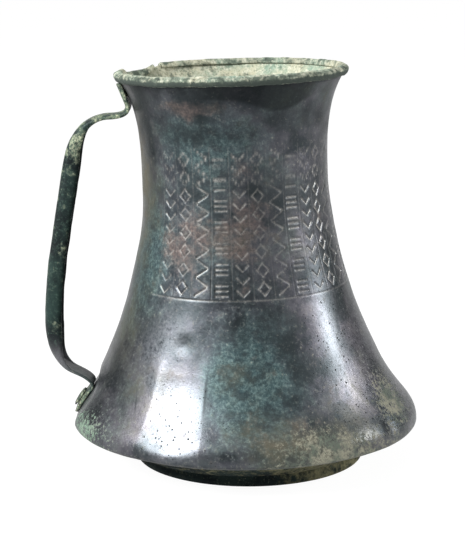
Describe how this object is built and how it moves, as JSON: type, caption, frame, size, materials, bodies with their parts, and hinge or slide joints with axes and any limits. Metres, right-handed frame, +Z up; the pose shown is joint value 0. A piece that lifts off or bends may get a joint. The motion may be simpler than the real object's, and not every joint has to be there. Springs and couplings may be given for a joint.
{
  "type": "flared bronze jug with strap handle",
  "caption": "Hammered bronze jug with a narrow flared neck, wide belly, low foot ring, folded rim binding and a riveted strap handle.",
  "frame": {"origin": "middle of the bounding box in plan, on the plane that the foot ring stands on", "axes": "+Z up out of the mouth, the strap handle on the -X side, +Y away from the side with the ornament"},
  "size_m": [0.1648, 0.153, 0.1742],
  "materials": {
    "wall_bronze": "dark grey patina, worn smooth, semi-gloss with green bloom",
    "crusted_bronze": "matte pale green and cream corrosion crust",
    "under_bronze": "matte dark olive and green patina",
    "handle_bronze": "rough dark green patina with pale spots"
  },
  "bodies": {
    "root": {"body_wall": "wall_bronze", "rim_binding": "crusted_bronze", "base_pan": "under_bronze", "foot_ring": "under_bronze", "strap_handle": "handle_bronze", "upper_rivet": "handle_bronze", "lower_rivet": "handle_bronze"}
  },
  "joints": []
}
